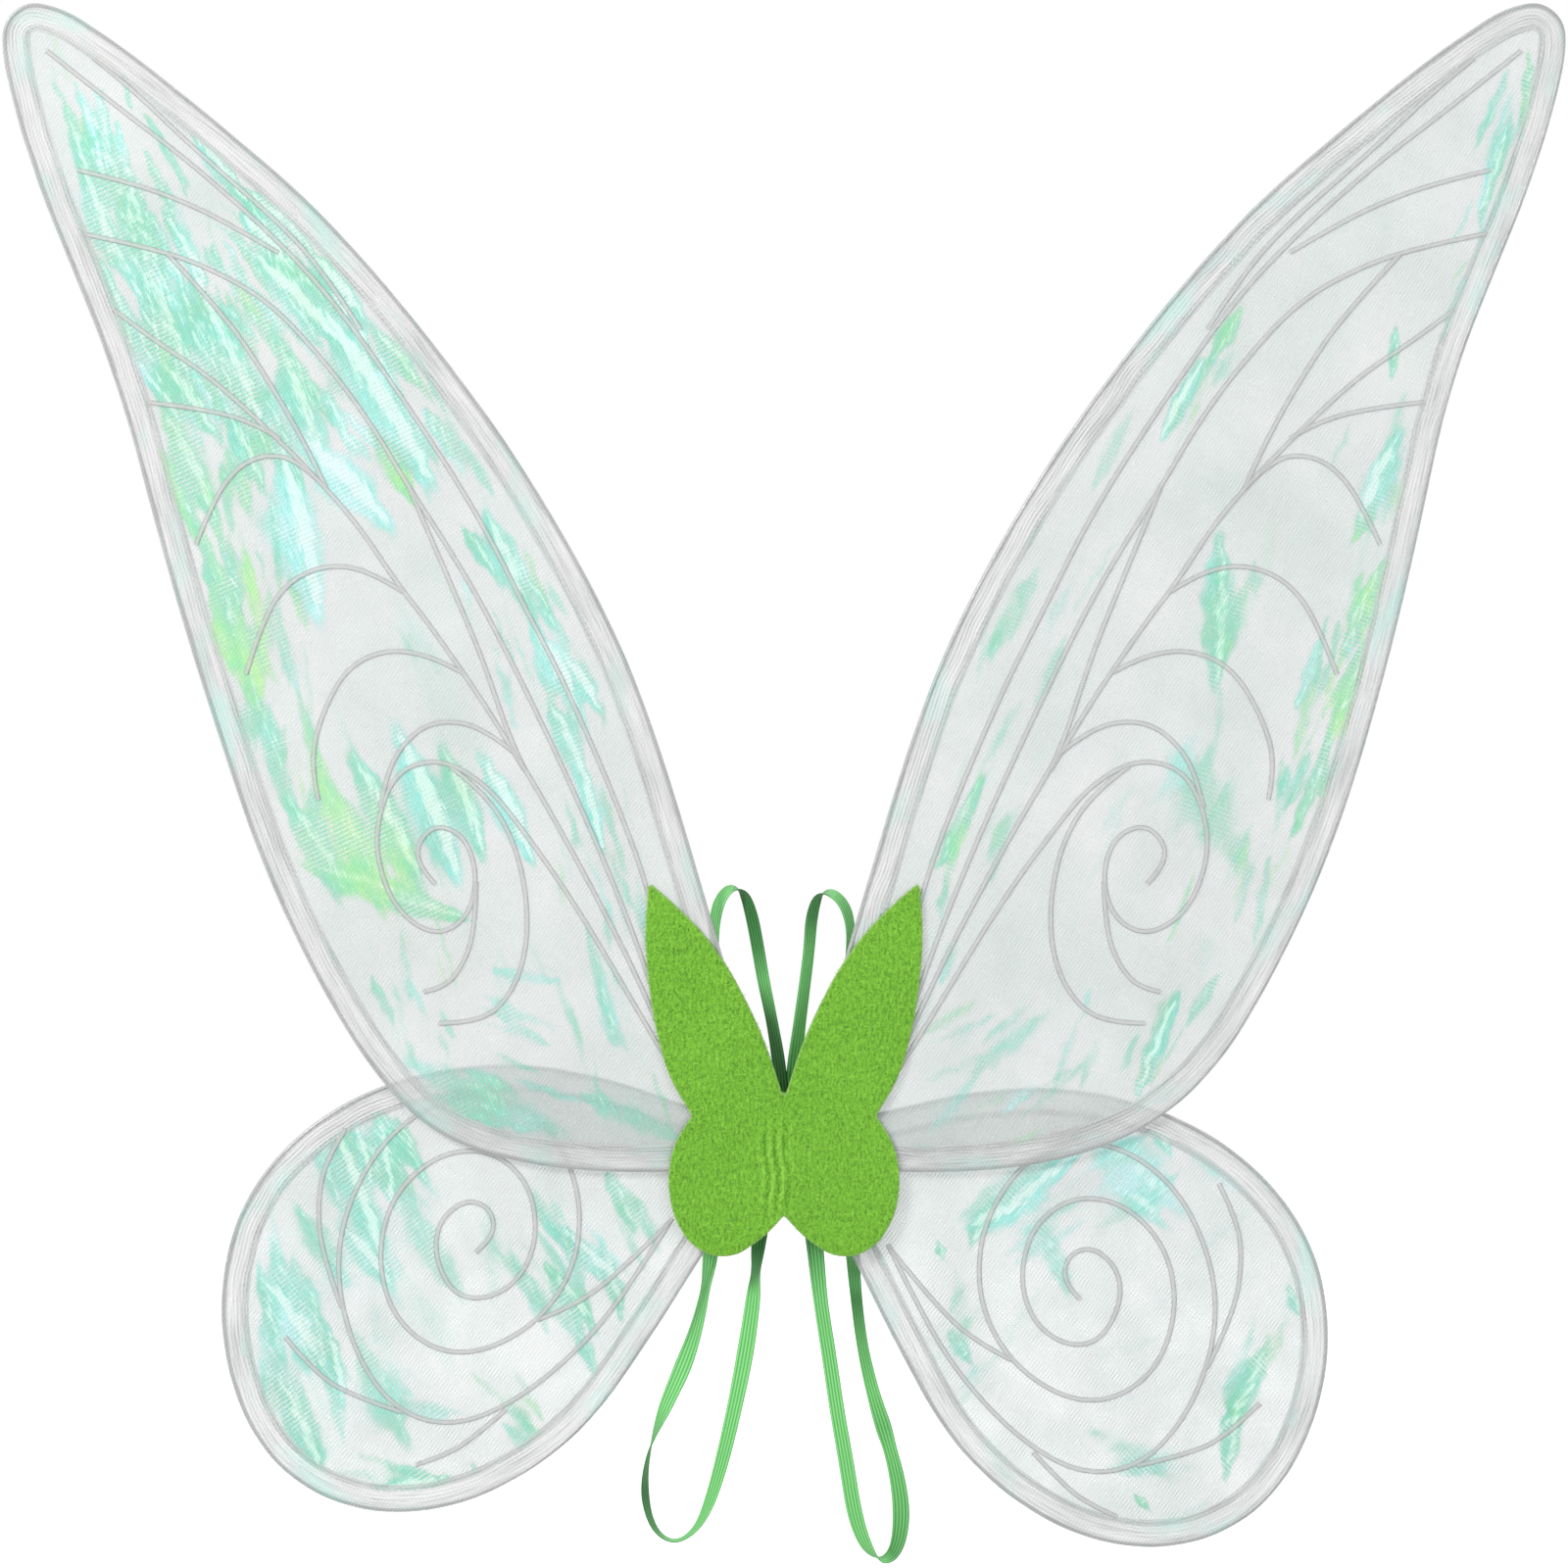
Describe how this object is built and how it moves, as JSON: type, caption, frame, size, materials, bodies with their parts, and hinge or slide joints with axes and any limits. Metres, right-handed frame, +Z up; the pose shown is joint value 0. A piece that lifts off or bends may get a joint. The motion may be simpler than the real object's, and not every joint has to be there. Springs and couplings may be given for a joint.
{
  "type": "fairy wings",
  "caption": "Costume fairy wings: wired sheer wings with iridescent film and corded veins on a folding felt butterfly, with elastic shoulder loops.",
  "frame": {"origin": "centre line of the back felt's outer face, at the height of the butterfly's waist", "axes": "+X to the right seen from the decorated side, +Y towards the wearer's back, +Z up as worn"},
  "size_m": [0.7976, 0.0198, 0.7959],
  "materials": {
    "lime_felt": "fuzzy polyester felt",
    "cotton_tape": "woven tape",
    "spring_steel": "drawn wire",
    "hem_binding": "folded sheer binding",
    "sheer_cloth": "sheer ribbed organza",
    "iridescent_film": "clear iridescent film",
    "vein_cord": "flat corded line",
    "rivet_brass": "plated tubular rivet",
    "green_elastic": "ribbed woven elastic",
    "green_thread": "sewing thread"
  },
  "bodies": {
    "centre": {"front_felt": "lime_felt", "back_felt": "lime_felt", "centre_tape": "cotton_tape"},
    "left_half": {"left_upper_wire_frame": "spring_steel", "left_upper_hem": "hem_binding", "left_upper_front_cloth": "sheer_cloth", "left_upper_film": "iridescent_film", "left_upper_back_cloth": "sheer_cloth", "left_upper_veins": "vein_cord", "left_root_rivet": "rivet_brass", "left_root_washer": "rivet_brass", "left_strap": "green_elastic", "left_strap_stitches": "green_thread"},
    "left_lower_wing": {"left_lower_wire_frame": "spring_steel", "left_lower_hem": "hem_binding", "left_lower_front_cloth": "sheer_cloth", "left_lower_film": "iridescent_film", "left_lower_back_cloth": "sheer_cloth", "left_lower_veins": "vein_cord"},
    "right_half": {"right_upper_wire_frame": "spring_steel", "right_upper_hem": "hem_binding", "right_upper_front_cloth": "sheer_cloth", "right_upper_film": "iridescent_film", "right_upper_back_cloth": "sheer_cloth", "right_upper_veins": "vein_cord", "right_root_rivet": "rivet_brass", "right_root_washer": "rivet_brass", "right_strap": "green_elastic", "right_strap_stitches": "green_thread"},
    "right_lower_wing": {"right_lower_wire_frame": "spring_steel", "right_lower_hem": "hem_binding", "right_lower_front_cloth": "sheer_cloth", "right_lower_film": "iridescent_film", "right_lower_back_cloth": "sheer_cloth", "right_lower_veins": "vein_cord"}
  },
  "joints": [
    {"name": "left_fold", "type": "hinge", "parent": "centre", "child": "left_half", "pos_m": [-0.007, -0.0044, 0], "axis": [0, 0, 1], "range_deg": [0, 85], "deforming": ["front_felt", "back_felt"]},
    {"name": "right_fold", "type": "hinge", "parent": "centre", "child": "right_half", "pos_m": [0.007, -0.0044, 0], "axis": [0, 0, -1], "range_deg": [0, 85], "deforming": ["front_felt", "back_felt"]},
    {"name": "left_lower_swivel", "type": "hinge", "parent": "left_half", "child": "left_lower_wing", "pos_m": [-0.022, -0.0029, 0.006], "axis": [0, 1, 0], "range_deg": [-21, 49]},
    {"name": "right_lower_swivel", "type": "hinge", "parent": "right_half", "child": "right_lower_wing", "pos_m": [0.022, -0.0029, 0.006], "axis": [0, -1, 0], "range_deg": [-15, 55]}
  ]
}
